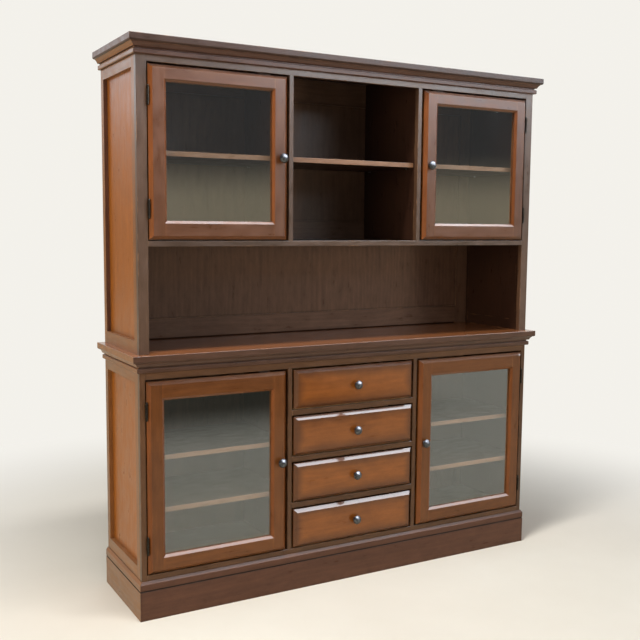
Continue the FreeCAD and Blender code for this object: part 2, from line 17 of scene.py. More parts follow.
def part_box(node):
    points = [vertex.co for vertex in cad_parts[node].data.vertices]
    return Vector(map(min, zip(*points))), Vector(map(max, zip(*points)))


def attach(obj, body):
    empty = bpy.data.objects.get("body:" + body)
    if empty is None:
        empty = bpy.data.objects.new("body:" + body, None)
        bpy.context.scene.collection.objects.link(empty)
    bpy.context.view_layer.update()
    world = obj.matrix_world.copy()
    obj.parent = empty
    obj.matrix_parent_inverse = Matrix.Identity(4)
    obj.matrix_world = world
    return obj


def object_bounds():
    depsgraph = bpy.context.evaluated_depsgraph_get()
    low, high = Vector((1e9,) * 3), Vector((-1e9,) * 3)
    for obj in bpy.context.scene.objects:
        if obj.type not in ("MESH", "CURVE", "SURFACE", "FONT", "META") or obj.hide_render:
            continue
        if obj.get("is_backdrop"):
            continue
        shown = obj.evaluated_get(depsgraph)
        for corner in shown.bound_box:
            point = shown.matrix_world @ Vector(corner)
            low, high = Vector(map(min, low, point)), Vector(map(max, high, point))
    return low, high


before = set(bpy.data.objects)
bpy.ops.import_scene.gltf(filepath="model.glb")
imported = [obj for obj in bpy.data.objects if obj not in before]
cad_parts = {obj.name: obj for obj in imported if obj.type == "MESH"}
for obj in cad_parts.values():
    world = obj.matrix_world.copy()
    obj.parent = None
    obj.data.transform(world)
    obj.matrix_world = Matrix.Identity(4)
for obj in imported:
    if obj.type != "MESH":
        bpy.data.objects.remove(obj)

log = logging.getLogger("cabinet")
CAD_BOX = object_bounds()
WELD = 1e-6  # vertices closer than this are one
GOLDEN = 0.618034  # spreads the boards' seeds evenly
FOOT_SHADE_HEIGHT = 0.005  # faces lower than this over the base top take the painted groove shade
DIAGONAL = math.sqrt(0.5)  # one part of a normal at 45 degrees
LEAN = 0.5  # a face leans to a side from this part of its normal on
SLANT_PLAY = 0.05
MIDDLE = 0.5  # the mean of a noise or a seed
BUMP_STRENGTH = 0.35
EASE_SAMPLES = 4
DRAWERS = 4
COOL = (0.82, 0.91, 1.0)
WARM = (1.0, 0.94, 0.84)
Colour = tuple[float, float, float, float]
Triple = tuple[float, float, float]
Steps = tuple[int, int, int]
Span = tuple[float, float]
Outline = list[tuple[float, float]]
Socket = bpy.types.NodeSocket
Outputs = dict[str, Socket]


def stain(steps: Steps) -> Colour:
    """A colour as it looks on a screen, in Blender's linear values.

    Args:
        steps: Its red, green and blue, from 0 to 255.

    Returns:
        The linear colour with full alpha.
    """
    shares = [step / 255 for step in steps]
    linear = [s / 12.92 if s <= 0.04045 else ((s + 0.055) / 1.055) ** 2.4 for s in shares]
    return (*linear, 1.0)


class Net:
    """Adds nodes to one shader tree and joins them."""

    MIX_INPUTS = (0, 6, 7)
    MIX_OUTPUT = 2

    def __init__(self, tree: bpy.types.NodeTree) -> None:
        """Keeps the tree that the nodes go into."""
        self.tree = tree

    def feed(self, socket: Socket, value: Any) -> None:
        """Joins an output to an input socket, or sets a plain value on it.

        Args:
            socket: The input socket.
            value: The output socket or the plain value.
        """
        if isinstance(value, Socket):
            self.tree.links.new(value, socket)
        else:
            socket.default_value = value

    def fill(self, node: bpy.types.Node, values: dict[Any, Any]) -> None:
        """Feeds some of a node's inputs, by their names or numbers."""
        for key, value in values.items():
            self.feed(node.inputs[key], value)

    def node(self, kind: str, *values: Any, **settings: Any) -> bpy.types.Node:
        """Adds a node.

        Args:
            kind: The node's Blender type.
            values: Sockets or plain values for its first inputs, in order.
            settings: Properties to set on it.

        Returns:
            The new node.
        """
        made = self.tree.nodes.new(kind)
        for key, value in settings.items():
            setattr(made, key, value)
        self.fill(made, dict(enumerate(values)))
        return made

    def sums(self, operation: str, *values: Any, clamp: bool = False) -> Socket:
        """A sum on sockets or numbers; a clamped one stays from 0 to 1."""
        return self.node("ShaderNodeMath", *values, operation=operation, use_clamp=clamp).outputs[0]

    def vectors(self, operation: str, *values: Any) -> Socket:
        """A sum on vectors; a dot product or a length is a number."""
        made = self.node("ShaderNodeVectorMath", *values, operation=operation)
        return made.outputs["Value" if operation in ("DOT_PRODUCT", "LENGTH") else "Vector"]

    def mix(self, share: Any, first: Any, second: Any, blend: str = "MIX") -> Socket:
        """A mix of two colours.

        Args:
            share: How much of the second one shows.
            first, second: Sockets or colours.
            blend: The blend type.

        Returns:
            The mixed colour's socket.
        """
        made = self.node("ShaderNodeMix", data_type="RGBA", blend_type=blend)
        self.fill(made, dict(zip(self.MIX_INPUTS, (share, first, second))))
        return made.outputs[self.MIX_OUTPUT]

    def spread(self, value: Any, near: Any, far: Any, low: Any = 0.0, high: Any = 1.0) -> Socket:
        """Maps a number smoothly from the range near to far to the range low to high, with flat ends."""
        ends = (near, far, low, high)
        return self.node("ShaderNodeMapRange", value, *ends, interpolation_type="SMOOTHSTEP").outputs[0]

    def noise(self, place: Any, scale: float, detail: float = 2.0, rough: float = 0.5) -> Socket:
        """Soft noise over a place vector, from 0 to 1 with its middle at one half.

        Args:
            place: The vector's socket.
            scale: Waves per unit of the vector.
            detail: Finer octaves.
            rough: How strong the finer octaves are.

        Returns:
            The noise value's socket.
        """
        made = self.node("ShaderNodeTexNoise", noise_dimensions="3D")
        self.fill(made, {"Vector": place, "Scale": scale, "Detail": detail, "Roughness": rough})
        return made.outputs["Fac"]

    def streaks(self, place: Any, stretch: Triple, detail: float = 2.0, rough: float = 0.5) -> Socket:
        """Soft noise with waves of its own along each axis."""
        return self.noise(self.vectors("MULTIPLY", place, stretch), 1.0, detail, rough)

    def parts(self, vector: Socket) -> list[Socket]:
        """The sockets of a vector's three numbers."""
        return list(self.node("ShaderNodeSeparateXYZ", vector).outputs)

    def here(self) -> Socket:
        """A point's place in its object's own space."""
        return self.node("ShaderNodeTexCoord").outputs["Object"]

    def attribute(self, label: str, output: str = "Vector") -> Socket:
        """A value that is stored on the mesh's vertices."""
        return self.node("ShaderNodeAttribute", attribute_name=label).outputs[output]


class SocketKind(Enum):
    """What a node group's socket carries."""

    COLOUR = "NodeSocketColor"
    VALUE = "NodeSocketFloat"
    PLACE = "NodeSocketVector"

    def on(self, *labels: str) -> dict[str, "SocketKind"]:
        """This kind for each of some sockets."""
        return dict.fromkeys(labels, self)


COLOUR, VALUE, PLACE = SocketKind


class Effect:
    """A shader node group that several finishes share, built once."""

    name: ClassVar[str]
    takes: ClassVar[dict[str, SocketKind]] = {}
    gives: ClassVar[dict[str, SocketKind]] = {}

    def tree(self) -> bpy.types.NodeTree:
        """Builds the group's node tree on first use.

        Returns:
            The tree.
        """
        known = bpy.data.node_groups.get(self.name)
        if known:
            return known
        tree = bpy.data.node_groups.new(self.name, "ShaderNodeTree")
        for side, sockets in (("INPUT", self.takes), ("OUTPUT", self.gives)):
            for label, kind in sockets.items():
                tree.interface.new_socket(label, in_out=side, socket_type=kind.value)
        net = Net(tree)
        results = self.wire(net, net.node("NodeGroupInput").outputs)
        net.fill(net.node("NodeGroupOutput"), results)
        return tree

    def wire(self, net: Net, given: Any) -> Outputs:
        """Builds the group's inner nodes.

        Args:
            net: The group's own tree.
            given: The group's inputs by name.

        Returns:
            A socket for each of the group's outputs.
        """
        raise NotImplementedError

    def place(self, net: Net, **values: Any) -> Any:
        """Puts the group into a tree.

        Args:
            net: The tree that it goes into.
            values: A socket or a plain value for each input, by its name in lower case.

        Returns:
            The group's outputs by name.
        """
        made = net.node("ShaderNodeGroup", node_tree=self.tree())
        net.fill(made, {label.title(): value for label, value in values.items()})
        return made.outputs


class BoardFrame(Effect):
    """Where a point lies on its own board: along and across the grain, and in from the nearest edge."""

    name = "board frame"
    gives = PLACE.on("Grain") | VALUE.on("Edge", "Seed")
    SEED_STEPS = (7.3, 3.1, 5.9)

    def wire(self, net: Net, given: Any) -> Outputs:
        """Reads the board's middle, half size and grain from the mesh.

        Args:
            net: The group's tree.
            given: Its inputs; not used, as the group has none.

        Returns:
            Its outputs.
        """
        here = net.here()
        local = net.vectors("SUBTRACT", here, net.attribute("board_mid"))
        grain = net.attribute("board_grain")
        seed = net.attribute("board_seed", "Fac")
        x, y, z = net.parts(local)
        along_x, _, along_z = net.parts(grain)
        along = net.vectors("DOT_PRODUCT", local, grain)
        wide = net.sums("MULTIPLY_ADD", along_x, net.sums("SUBTRACT", y, x), x)
        deep = net.sums("MULTIPLY_ADD", along_z, net.sums("SUBTRACT", y, z), z)
        joined = net.node("ShaderNodeCombineXYZ", along, wide, deep)
        apart = net.node("ShaderNodeVectorMath", self.SEED_STEPS, operation="SCALE")
        net.feed(apart.inputs["Scale"], seed)
        place = net.vectors("ADD", joined.outputs[0], apart.outputs[0])
        half = net.attribute("board_half")
        inset = net.vectors("SUBTRACT", half, net.vectors("ABSOLUTE", local))
        first, second, third = net.parts(inset)
        least = net.sums("MINIMUM", first, second)
        most = net.sums("MAXIMUM", first, second)
        edge = net.sums("MAXIMUM", least, net.sums("MINIMUM", most, third))
        return {"Grain": place, "Edge": edge, "Seed": seed}


class StainedGrain(Effect):
    """Stained close-grained wood: growth figure, fibres, fine pores and blotchy stain."""

    name = "stained grain"
    takes = COLOUR.on("Deep", "Light") | VALUE.on("Figure", "Fibre", "Blotch", "Pores")
    gives = COLOUR.on("Colour") | VALUE.on("Height", "Polish")
    FIBRES = (9.0, 300.0, 300.0)
    BANDS = (2.2, 46.0, 46.0)
    BLOTCHES = (14.0, 34.0, 34.0)
    SWAYS = (2.4, 9.0, 9.0)
    PITH = (0.0, 0.035, 0.11)
    RINGS = 105.0
    RING_STRETCH = (0.02, 1.0, 1.0)
    RING_SWAY = 7.0
    RING_POWER = 1.6
    RING_MEAN = 0.4
    LOT_SWING = 0.22
    DASHES = (70.0, 1900.0, 1900.0)
    DASH_RANGE = (0.6, 0.72)
    FIBRE_SHARE = 0.5

    def wire(self, net: Net, given: Any) -> Outputs:
        """Layers the figure, fibre, blotch and pores along the board's grain.

        Args:
            net: The group's tree.
            given: Its inputs.

        Returns:
            Its outputs.
        """
        board = BoardFrame().place(net)
        place = board["Grain"]
        fibre = net.streaks(place, self.FIBRES, detail=3.0, rough=0.65)
        band = net.streaks(place, self.BANDS)
        blotch = net.streaks(place, self.BLOTCHES, detail=4.0, rough=0.6)
        sway = net.streaks(place, self.SWAYS, detail=1.0)
        flat = net.vectors("MULTIPLY", net.vectors("ADD", place, self.PITH), self.RING_STRETCH)
        radius = net.sums("MULTIPLY", net.vectors("LENGTH", flat), self.RINGS)
        turns = net.sums("MULTIPLY_ADD", sway, self.RING_SWAY, radius)
        rings = net.sums("POWER", net.sums("PINGPONG", turns, 1.0), self.RING_POWER)
        figured = net.sums("SUBTRACT", rings, self.RING_MEAN)
        tone = net.sums("MULTIPLY_ADD", figured, given["Figure"], MIDDLE)
        for layer, share in ((fibre, "Fibre"), (band, "Fibre"), (blotch, "Blotch")):
            swing = net.sums("SUBTRACT", layer, MIDDLE)
            tone = net.sums("MULTIPLY_ADD", swing, given[share], tone)
        lot = net.sums("SUBTRACT", board["Seed"], MIDDLE)
        tone = net.sums("MULTIPLY_ADD", lot, self.LOT_SWING, tone, clamp=True)
        colour = net.mix(tone, given["Deep"], given["Light"])
        dash = net.streaks(place, self.DASHES, detail=1.0)
        pores = net.sums("MULTIPLY", net.spread(dash, *self.DASH_RANGE), given["Pores"])
        colour = net.mix(pores, colour, given["Deep"], "MULTIPLY")
        height = net.sums("SUBTRACT", net.sums("MULTIPLY", fibre, self.FIBRE_SHARE), pores)
        swing = net.sums("SUBTRACT", fibre, MIDDLE)
        polish = net.sums("MULTIPLY_ADD", swing, self.FIBRE_SHARE, blotch)
        return {"Colour": colour, "Height": height, "Polish": polish}


class ShadedEdge(Effect):
    """Toner sprayed round a board's edges: a dark one leaves a sunburst whose middle glows; the doors'
    paler orange one is painted light on their edges.
    """

    name = "shaded edge"
    takes = COLOUR.on("Colour", "Toner") | VALUE.on("Reach", "Share")
    gives = COLOUR.on("Colour")
    CLOUDS = 11.0
    CLOUD_SWING = (0.9, 0.55)

    def wire(self, net: Net, given: Any) -> Outputs:
        """Fades the toner out from the edge, with a cloudy border.

        Args:
            net: The group's tree.
            given: Its inputs.

        Returns:
            Its outputs.
        """
        board = BoardFrame().place(net)
        cloud = net.noise(board["Grain"], self.CLOUDS)
        uneven = net.sums("MULTIPLY_ADD", cloud, *self.CLOUD_SWING)
        reach = net.sums("MULTIPLY", given["Reach"], uneven)
        depth = net.spread(board["Edge"], 0.0, reach, 1.0, 0.0)
        share = net.sums("MULTIPLY", depth, given["Share"])
        return {"Colour": net.mix(share, given["Colour"], given["Toner"])}


class RubbedArris(Effect):
    """Sharp edges rubbed back to a paler colour in patches."""

    name = "rubbed arris"
    takes = COLOUR.on("Colour", "Bare") | VALUE.on("Width", "Share")
    gives = COLOUR.on("Colour") | VALUE.on("Mask")
    PATCHES = 16.0
    PATCH_RANGE = (0.45, 0.72)
    NICKS = 140.0
    NICK_SWING = (1.4, 0.3)
    FULL_WEAR = 0.4

    def wire(self, net: Net, given: Any) -> Outputs:
        """Finds the edge's patches by noise along the board.

        Args:
            net: The group's tree.
            given: Its inputs.

        Returns:
            Its outputs.
        """
        board = BoardFrame().place(net)
        worn = net.noise(board["Grain"], self.PATCHES, detail=3.0, rough=0.6)
        patch = net.spread(worn, *self.PATCH_RANGE)
        nick = net.noise(board["Grain"], self.NICKS)
        uneven = net.sums("MULTIPLY_ADD", nick, *self.NICK_SWING)
        width = net.sums("MULTIPLY", given["Width"], uneven)
        rim = net.spread(board["Edge"], net.sums("MULTIPLY", width, self.FULL_WEAR), width, 1.0, 0.0)
        mask = net.sums("MULTIPLY", net.sums("MULTIPLY", rim, patch), given["Share"])
        return {"Colour": net.mix(mask, given["Colour"], given["Bare"]), "Mask": mask}


class SettledDust(Effect):
    """A thin film of dust on faces that look up."""

    name = "settled dust"
    takes = COLOUR.on("Colour", "Dust") | VALUE.on("Share")
    gives = COLOUR.on("Colour") | VALUE.on("Mask")
    CLOUDS = 9.0
    CLOUD_RANGE = (0.3, 0.75)
    SLOPE_RANGE = (0.5, 0.95)

    def wire(self, net: Net, given: Any) -> Outputs:
        """Takes the face's slope and a cloudy cover.

        Args:
            net: The group's tree.
            given: Its inputs.

        Returns:
            Its outputs.
        """
        slope = net.parts(net.node("ShaderNodeNewGeometry").outputs["Normal"])[2]
        here = net.here()
        cloud = net.noise(here, self.CLOUDS, detail=4.0, rough=0.6)
        cover = net.spread(cloud, *self.CLOUD_RANGE)
        level = net.spread(slope, *self.SLOPE_RANGE)
        mask = net.sums("MULTIPLY", net.sums("MULTIPLY", level, cover), given["Share"])
        return {"Colour": net.mix(mask, given["Colour"], given["Dust"]), "Mask": mask}


class CastMetal(Effect):
    """A cast or plated metal face: mottled patina with brighter rubbed spots."""

    name = "cast metal"
    takes = COLOUR.on("Dark", "Bright") | VALUE.on("Mottle")
    gives = COLOUR.on("Colour") | VALUE.on("Height", "Polish")
    PATINA = 130.0
    PITS = 900.0
    PIT_RELIEF = 0.4
    BRIGHT_RANGE = (0.35, 0.7)

    def wire(self, net: Net, given: Any) -> Outputs:
        """Mixes a slow patina with fine pitting.

        Args:
            net: The group's tree.
            given: Its inputs.

        Returns:
            Its outputs.
        """
        here = net.here()
        patina = net.noise(here, self.PATINA, detail=3.0, rough=0.6)
        pits = net.noise(here, self.PITS)
        share = net.sums("MULTIPLY", net.spread(patina, *self.BRIGHT_RANGE), given["Mottle"])
        colour = net.mix(share, given["Dark"], given["Bright"])
        height = net.sums("MULTIPLY_ADD", pits, self.PIT_RELIEF, patina)
        return {"Colour": colour, "Height": height, "Polish": patina}


class WipedGlass(Effect):
    """Faint cloth smears and specks left on a pane."""

    name = "wiped glass"
    takes = COLOUR.on("Clear", "Film")
    gives = COLOUR.on("Colour") | VALUE.on("Smear")
    ARCS = (5.0, 5.0, 2.0)
    ARC_RANGE = (0.45, 0.75)
    SPECKS = 220.0
    SPECK_SWING = (0.8, 0.6)

    def wire(self, net: Net, given: Any) -> Outputs:
        """Draws long arcs of smear with finer specks in them.

        Args:
            net: The group's tree.
            given: Its inputs.

        Returns:
            Its outputs.
        """
        here = net.here()
        arcs = net.streaks(here, self.ARCS, detail=3.0, rough=0.6)
        specks = net.noise(here, self.SPECKS)
        speckled = net.sums("MULTIPLY_ADD", specks, *self.SPECK_SWING)
        smear = net.sums("MULTIPLY", net.spread(arcs, *self.ARC_RANGE), speckled)
        return {"Colour": net.mix(smear, given["Clear"], given["Film"]), "Smear": smear}


def blank_material(label: str) -> tuple[bpy.types.Material, Net, bpy.types.Node]:
    """A new material with one Principled shader.

    Args:
        label: The material's name.

    Returns:
        The material, its net and its shader node.
    """
    made = bpy.data.materials.new(label)
    made.use_nodes = True
    return made, Net(made.node_tree), made.node_tree.nodes["Principled BSDF"]


def show_blend(net: Net, share: Socket, first: Socket, second: Socket) -> None:
    """Makes a blend of two shaders the material's surface, with a share of the second one."""
    blend = net.node("ShaderNodeMixShader", share, first, second)
    net.feed(net.tree.nodes["Material Output"].inputs["Surface"], blend.outputs[0])


def add_relief(net: Net, shader: bpy.types.Node, height: Socket, depth: float, ease: float) -> None:
    """Joins a height to the shader's normal and rounds sharp edges.

    Args:
        net: The material's net.
        shader: Its Principled shader.
        height: The height's socket, from about 0 to 1.
        depth: What a height of 1 stands for, in metres.
        ease: The radius that sharp edges are rubbed to, in metres.
    """
    eased = net.node("ShaderNodeBevel", ease, samples=EASE_SAMPLES)
    bump = net.node("ShaderNodeBump")
    net.fill(bump, {"Strength": BUMP_STRENGTH, "Distance": depth, "Height": height})
    net.feed(bump.inputs["Normal"], eased.outputs[0])
    net.feed(shader.inputs["Normal"], bump.outputs[0])


def in_scene(label: str, data: bpy.types.ID) -> bpy.types.Object:
    """Puts a new object into the scene.

    Args:
        label: Its name.
        data: Its mesh, lamp or camera.

    Returns:
        The object.
    """
    made = bpy.data.objects.new(label, data)
    bpy.context.scene.collection.objects.link(made)
    return made


@dataclass(frozen=True)
class WoodFinish:
    """Stain, toner and satin lacquer on wood."""

    name: str
    deep: Steps
    light: Steps
    toner: Steps
    toner_reach: float = 0.016
    toner_share: float = 0.45
    figure: float = 0.12
    fibre: float = 0.45
    blotch: float = 0.8
    pores: float = 0.3
    satin: float = 0.36
    satin_swing: float = 0.10
    shine: float = 0.4
    coat: float = 0.12
    coat_roughness: float = 0.16
    bare: Steps = (176, 128, 88)
    bare_width: float = 0.0025
    bare_share: float = 0.35
    dust: Steps = (168, 158, 146)
    dust_share: float = 0.10
    relief: float = 0.0005
    ease: float = 0.0015
    POLISH_RANGE: ClassVar[Span] = (0.2, 0.8)
    DULLING: ClassVar[float] = 0.4

    def material(self) -> bpy.types.Material:
        """Makes the finish's material: grain, then toner, wear and dust over it.

        Returns:
            The material.
        """
        made, net, shader = blank_material(self.name)
        grain = StainedGrain().place(
            net, deep=stain(self.deep), light=stain(self.light), figure=self.figure,
            fibre=self.fibre, blotch=self.blotch, pores=self.pores,
        )
        toned = ShadedEdge().place(
            net, colour=grain["Colour"], toner=stain(self.toner), reach=self.toner_reach,
            share=self.toner_share,
        )
        rubbed = RubbedArris().place(
            net, colour=toned["Colour"], bare=stain(self.bare), width=self.bare_width,
            share=self.bare_share,
        )
        dust = stain(self.dust)
        dusty = SettledDust().place(net, colour=rubbed["Colour"], dust=dust, share=self.dust_share)
        low, high = self.satin - self.satin_swing, self.satin + self.satin_swing
        satin = net.spread(grain["Polish"], *self.POLISH_RANGE, low, high)
        matt = net.sums("ADD", dusty["Mask"], rubbed["Mask"])
        rough = net.sums("MULTIPLY_ADD", matt, self.DULLING, satin, clamp=True)
        net.fill(shader, {"Base Color": dusty["Colour"], "Roughness": rough})
        net.fill(shader, {"Specular IOR Level": self.shine, "Coat Weight": self.coat})
        net.fill(shader, {"Coat Roughness": self.coat_roughness})
        add_relief(net, shader, grain["Height"], self.relief, self.ease)
        return made


@dataclass(frozen=True)
class GlassFinish:
    """Clear float glass with faint smears; lamps shine through it."""

    name: str
    clear: Colour = (0.96, 0.98, 0.97, 1.0)
    film: Colour = (0.90, 0.92, 0.91, 1.0)
    ior: float = 1.9
    smear_roughness: float = 0.05

    def material(self) -> bpy.types.Material:
        """Makes the pane's material, with a plain way through it for shadows.

        Returns:
            The material.
        """
        made, net, shader = blank_material(self.name)
        wiped = WipedGlass().place(net, clear=self.clear, film=self.film)
        rough = net.sums("MULTIPLY", wiped["Smear"], self.smear_roughness)
        net.fill(shader, {"Base Color": wiped["Colour"], "Roughness": rough})
        net.fill(shader, {"Transmission Weight": 1.0, "IOR": self.ior})
        clear = net.node("ShaderNodeBsdfTransparent", self.clear)
        shadow = net.node("ShaderNodeLightPath").outputs["Is Shadow Ray"]
        show_blend(net, shadow, shader.outputs[0], clear.outputs[0])
        return made


@dataclass(frozen=True)
class MetalFinish:
    """A cast, plated or moulded hard surface."""

    name: str
    dark: Steps
    bright: Steps
    mottle: float = 0.8
    roughness: float = 0.32
    swing: float = 0.12
    metallic: float = 1.0
    relief: float = 0.0002
    ease: float = 0.0004
    POLISH_RANGE: ClassVar[Span] = (0.25, 0.75)

    def material(self) -> bpy.types.Material:
        """Makes the metal's material.

        Returns:
            The material.
        """
        made, net, shader = blank_material(self.name)
        dark, bright = stain(self.dark), stain(self.bright)
        cast = CastMetal().place(net, dark=dark, bright=bright, mottle=self.mottle)
        low, high = self.roughness - self.swing, self.roughness + self.swing
        rough = net.spread(cast["Polish"], *self.POLISH_RANGE, high, low)
        net.fill(shader, {"Base Color": cast["Colour"], "Roughness": rough, "Metallic": self.metallic})
        add_relief(net, shader, cast["Height"], self.relief, self.ease)
        return made


class Finish(Enum):
    """The finishes of the cabinet's pieces."""

    # The door's toner is paler and more orange than its stain: painted light along its edges, bevels and
    # stickings.
    DOOR = WoodFinish(
        "door wood", (68, 34, 11), (103, 57, 19), (124, 70, 27), 0.011, 0.25,
        pores=0.2, shine=0.5, coat=0.15,
    )
    # A paler, warmer copy of the door wood for the bevels that look half to the front and half to a side:
    # painted light on the bevels.
    DOOR_BEVEL = WoodFinish(
        "door bevel wood", (89, 46, 13), (130, 70, 23), (62, 33, 13), 0.002, 0.3,
        pores=0.2, shine=0.3, coat=0.15,
    )
    # The base door's toner is paler and more orange than its stain: painted light along its edges, bevels
    # and stickings.
    BASE_DOOR = WoodFinish(
        "base door wood", (78, 43, 18), (118, 69, 29), (130, 72, 25), 0.011, 0.25,
        pores=0.2, shine=0.15, coat=0.5, coat_roughness=0.1,
    )
    DRAWER = WoodFinish(
        "drawer wood", (102, 53, 14), (148, 85, 28), (58, 31, 15), 0.05, 0.75,
        shine=0.15, coat=0.8, coat_roughness=0.08,
    )
    FACE = WoodFinish(
        "face frame wood", (60, 41, 29), (98, 70, 51), (48, 34, 24), 0.008, 0.2,
        shine=0.5,
    )
    BASE_FACE = WoodFinish(
        "base frame wood", (66, 42, 24), (106, 70, 42), (50, 33, 22), 0.008, 0.2,
        shine=0.3,
    )
    # Paler, warmer wood for the side frames and for faces that look to a side: partly the frames' stain,
    # partly painted light from the side.
    SIDE_FRAME = WoodFinish(
        "side frame wood", (104, 65, 35), (152, 100, 55), (76, 48, 28), 0.008, 0.15,
        shine=0.2,
    )
    PANEL = WoodFinish(
        "side panel wood", (124, 68, 18), (166, 98, 34), (92, 51, 24), 0.025, 0.35,
        blotch=0.5, pores=0.05, shine=0.25, coat=0.05,
    )
    TOP = WoodFinish(
        "base top wood", (117, 67, 35), (160, 99, 56), (68, 41, 25), 0.016, 0.4,
        figure=0.05, fibre=0.2, blotch=0.15, satin=0.22, satin_swing=0.03, coat=0.4, dust_share=0.02,
        bare_share=0.2, relief=0.0001,
    )
    CROWN = WoodFinish(
        "crown wood", (47, 32, 25), (76, 53, 43), (40, 28, 23), 0.004, 0.2,
        shine=0.2, coat=0.1,
    )
    MOULDING = WoodFinish(
        "moulding wood", (58, 38, 28), (90, 60, 44), (48, 33, 26), 0.004, 0.2,
        shine=0.3, coat=0.1,
    )
    COVE = WoodFinish(
        "crown cove wood", (60, 37, 27), (94, 60, 45), (48, 31, 24), 0.004, 0.2,
        shine=0.3, coat=0.1,
    )
    PLINTH = WoodFinish(
        "plinth wood", (71, 46, 35), (100, 66, 49), (53, 35, 26), 0.012, 0.3,
        shine=0.18, coat=0.03,
    )
    # Near-black wood for the faces of grooves and gaps: painted shade in the crease.
    GROOVE = WoodFinish(
        "groove stain", (34, 22, 16), (48, 31, 22), (30, 20, 15),
        satin=0.75, shine=0.1, coat=0.0, bare_share=0.0, ease=0.0003,
    )
    # Very dark wood for faces inside the cabinet: partly a darker stain, mostly painted shade of the dim
    # interior.
    INSIDE = WoodFinish(
        "inside wood", (34, 20, 14), (58, 36, 25), (29, 18, 13), 0.01, 0.3,
        shine=0.25, coat=0.05,
    )
    BACK = WoodFinish(
        "back wood", (72, 50, 38), (116, 86, 66), (54, 38, 29), 0.01, 0.3,
        shine=0.25, coat=0.05,
    )
    SHELF = WoodFinish(
        "shelf edge wood", (104, 71, 47), (146, 105, 73), (84, 55, 40), 0.003, 0.2
    )
    PALE = WoodFinish(
        "pale inner wood", (172, 136, 92), (214, 182, 136), (160, 126, 86), 0.004, 0.2
    )
    GLASS = GlassFinish("pane glass")
    PEWTER = MetalFinish(
        "dark pewter", (76, 75, 78), (132, 131, 135), roughness=0.38, swing=0.08
    )
    IRON = MetalFinish("black hinge iron", (40, 35, 30), (84, 76, 68), 0.6, 0.36, metallic=0.9)
    STEEL = MetalFinish("pin steel", (150, 150, 152), (200, 200, 202), 0.7, 0.3)
    PLASTIC = MetalFinish("catch plastic", (46, 34, 28), (66, 50, 42), 0.6, 0.5, metallic=0.0)

    def material(self) -> bpy.types.Material:
        """The finish's material, made on first use."""
        return bpy.data.materials.get(self.value.name) or self.value.material()


class BoardMarks:
    """Writes on each vertex of a wooden node where its board lies and which way the grain runs."""

    WIDTHS = {"board_mid": 3, "board_half": 3, "board_grain": 3, "board_seed": 1}
    KINDS = {3: ("FLOAT_VECTOR", "vector"), 1: ("FLOAT", "value")}

    def __init__(self, node: str, upright: bool) -> None:
        """Reads the node's vertices.

        Args:
            node: The node's name in the frame.
            upright: Whether the grain runs up instead of along the longest side.
        """
        self.node = node
        self.upright = upright
        self.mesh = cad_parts[node].data
        flat = np.empty(len(self.mesh.vertices) * 3, np.float32)
        self.mesh.vertices.foreach_get("co", flat)
        self.places = flat.reshape(-1, 3).astype(float)

    def boards(self) -> Iterator[np.ndarray]:
        """Splits the node into its solids.

        The faces of a solid follow each other, so it is whole when each edge has been met from both sides.

        Returns:
            The vertex numbers of one solid after another.
        """
        steps = np.round(self.places / WELD).astype(np.int64)
        welded = np.unique(steps, axis=0, return_inverse=True)[1].ravel().tolist()
        open_edges: Counter[tuple[int, int]] = Counter()
        members: list[int] = []
        for face in self.mesh.polygons:
            corners = list(face.vertices)
            members += corners
            ring = [welded[corner] for corner in corners]
            for start, end in zip(ring, ring[1:] + ring[:1]):
                if open_edges[end, start] > 0:
                    open_edges[end, start] -= 1
                else:
                    open_edges[start, end] += 1
            if not +open_edges:
                yield np.unique(members)
                open_edges.clear()
                members = []
        if members:
            yield np.unique(members)

    def write(self) -> int:
        """Stores the marks.

        Returns:
            How many boards the node has.
        """
        count = len(self.places)
        values = {label: np.zeros((count, width)) for label, width in self.WIDTHS.items()}
        first_seed = sum(self.node.encode()) * GOLDEN
        boards = 0
        for boards, members in enumerate(self.boards(), 1):
            low, high = self.places[members].min(0), self.places[members].max(0)
            axis = 2 if self.upright else int(np.argmax(high - low))
            values["board_mid"][members] = (low + high) / 2
            values["board_half"][members] = (high - low) / 2
            values["board_grain"][members] = np.eye(3)[axis]
            values["board_seed"][members] = (first_seed + boards * GOLDEN) % 1
        for label, width in self.WIDTHS.items():
            kind, part = self.KINDS[width]
            layer = self.mesh.attributes.new(label, kind, "POINT")
            layer.data.foreach_set(part, values[label].ravel())
        return boards


class Facing(Enum):
    """Faces that take a second finish, with the way that they look."""

    INNER = "to the middle of the cabinet"
    FRONT = "to the front"
    SIDEWAYS = "to the left or the right"
    CORNER = "half to the front and half to one side"
    EDGE = "anywhere but up"
    SLANT = "half up or half down"
    FOOT = "into the groove over the base top"

    def picks(self, face: bpy.types.MeshPolygon) -> bool:
        """Tells whether a face looks that way.

        Args:
            face: A face of the node.

        Returns:
            Whether the second finish goes on it.
        """
        x, y, z = face.normal
        if self is Facing.FRONT:
            return y < -DIAGONAL
        if self is Facing.SIDEWAYS:
            return abs(x) > LEAN
        if self is Facing.CORNER:
            return min(abs(x), -y) > LEAN
        if self is Facing.EDGE:
            return z < DIAGONAL
        if self is Facing.FOOT:
            return face.center.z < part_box("base_top")[1].z + FOOT_SHADE_HEIGHT
        if self is Facing.SLANT:
            return math.isclose(abs(z), DIAGONAL, abs_tol=SLANT_PLAY)
        return x * math.copysign(1.0, face.center.x) < -DIAGONAL


# Faces that look into the cabinet take the inside finish, which is mostly painted shade.
INWARD_SHADE = {Facing.INNER: Finish.INSIDE}
SIDE_LIGHT_RETURNS = {Facing.SIDEWAYS: Finish.SIDE_FRAME}  # side-frame finish on faces that look to the left or right: painted side light, not a paler wood


